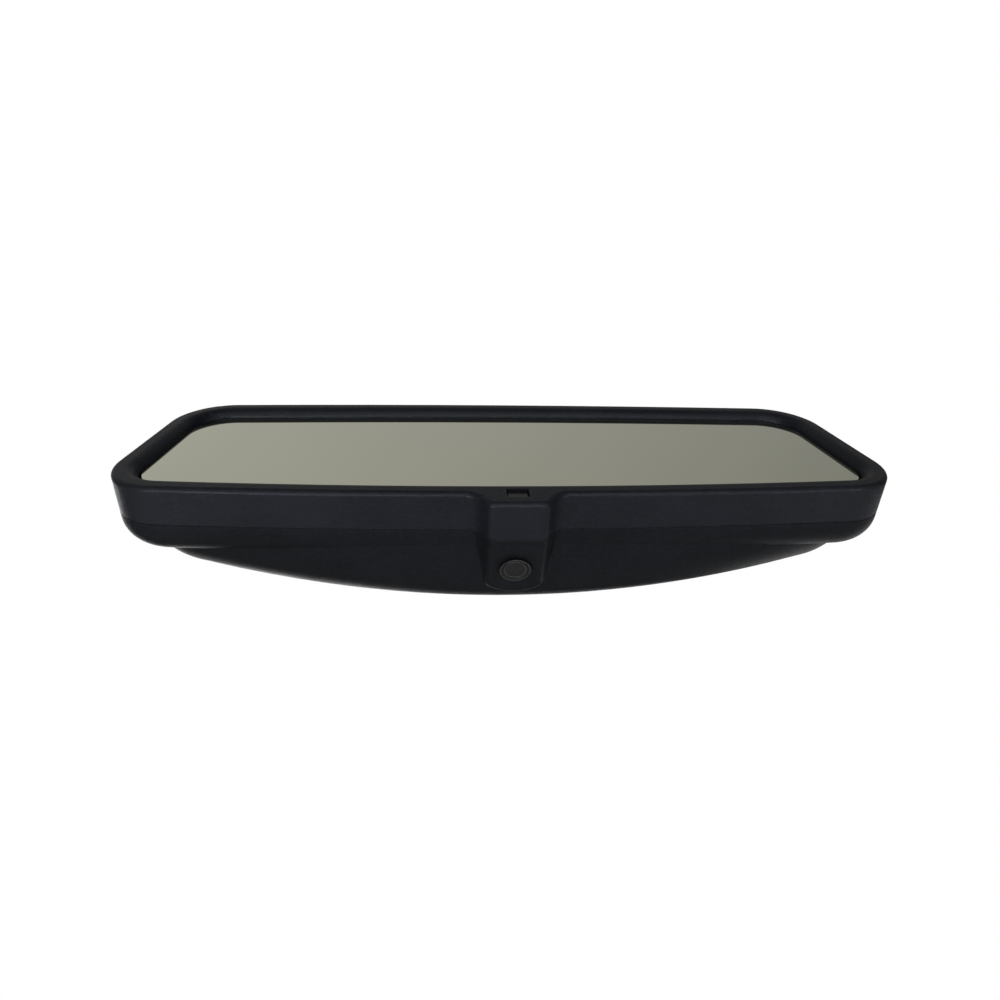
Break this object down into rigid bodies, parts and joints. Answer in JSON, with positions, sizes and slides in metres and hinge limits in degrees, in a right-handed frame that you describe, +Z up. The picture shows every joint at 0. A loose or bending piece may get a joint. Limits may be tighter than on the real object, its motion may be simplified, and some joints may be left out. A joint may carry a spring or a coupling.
{
  "type": "interior rearview mirror",
  "caption": "Dimming interior rearview mirror: wide framed glass in a domed black head on a ball joint, curved arm and twist-on windscreen foot.",
  "frame": {"origin": "centre of the windscreen button's bonding face", "axes": "+X across the head, +Y from the glass forward to the windscreen, +Z up; the glass faces -Y"},
  "size_m": [0.2416, 0.0876, 0.1083],
  "materials": {
    "bezel_plastic": "fine grain, satin black",
    "housing_plastic": "fine grain, satin black",
    "clear_glass": "polished, seamed edge",
    "dimming_gel": "clear tinted layer",
    "seal_resin": "cured resin",
    "mirror_coated_glass": "silvered on the front",
    "clip_metal": "tinned spring strip",
    "foam": "closed-cell foam tape",
    "inner_plastic": "moulded",
    "screw_steel": "zinc plated",
    "board_laminate": "solder-masked glass laminate",
    "chip_epoxy": "moulded epoxy",
    "can_metal": "sleeved can",
    "inlet_plastic": "moulded",
    "pin_brass": "tin-plated",
    "sensor_epoxy": "tinted epoxy",
    "window_plastic": "dark translucent window",
    "lens_ring_plastic": "satin grey",
    "lens_plastic": "frosted",
    "collar_rubber": "satin",
    "socket_nylon": "glass-filled nylon",
    "spring_steel": "tempered",
    "cap_steel": "turned",
    "liner_nylon": "natural acetal",
    "stud_steel": "ground",
    "arm_cast": "black powder coat on zinc casting",
    "button_steel": "sintered steel"
  },
  "bodies": {
    "windscreen_button": {"windscreen_button": "button_steel"},
    "arm": {"mount_arm": "arm_cast", "lock_ring": "spring_steel", "lock_ring_screws": "screw_steel"},
    "stud": {"ball_stud": "stud_steel", "stud_clip": "spring_steel"},
    "liner": {"ball_liner": "liner_nylon"},
    "head": {"front_bezel": "bezel_plastic", "front_glass": "clear_glass", "edge_seal": "seal_resin", "dimming_gel": "dimming_gel", "rear_glass": "mirror_coated_glass", "bus_clip_upper": "clip_metal", "bus_clip_lower": "clip_metal", "foam_pad": "foam", "carrier_plate": "inner_plastic", "carrier_screws": "screw_steel", "circuit_board": "board_laminate", "board_screws": "screw_steel", "board_chips": "chip_epoxy", "board_capacitors": "can_metal", "plug_inlet": "inlet_plastic", "inlet_pins": "pin_brass", "glare_sensor": "sensor_epoxy", "glare_window": "window_plastic", "lens_ring": "lens_ring_plastic", "ambient_lens": "lens_plastic", "ambient_sensor": "sensor_epoxy", "sensor_board": "board_laminate", "rear_housing": "housing_plastic", "neck_collar": "collar_rubber", "ball_socket": "socket_nylon", "socket_screws": "screw_steel", "pressure_cup": "socket_nylon", "cone_spring": "spring_steel", "spring_cap": "cap_steel"}
  },
  "joints": [
    {"name": "foot_twist", "type": "hinge", "parent": "windscreen_button", "child": "arm", "pos_m": [0, 0, 0], "axis": [0, 0.5, 0.866], "range_deg": [0, 60]},
    {"name": "head_roll", "type": "hinge", "parent": "arm", "child": "stud", "pos_m": [0, -0.042, -0.056], "axis": [0, 0.9781, 0.2079], "range_deg": [-12, 12]},
    {"name": "head_tilt", "type": "hinge", "parent": "stud", "child": "liner", "pos_m": [0, -0.042, -0.056], "axis": [1, 0, 0], "range_deg": [-10, 10]},
    {"name": "head_pan", "type": "hinge", "parent": "liner", "child": "head", "pos_m": [0, -0.042, -0.056], "axis": [0, 0, 1], "range_deg": [-16, 16]}
  ]
}
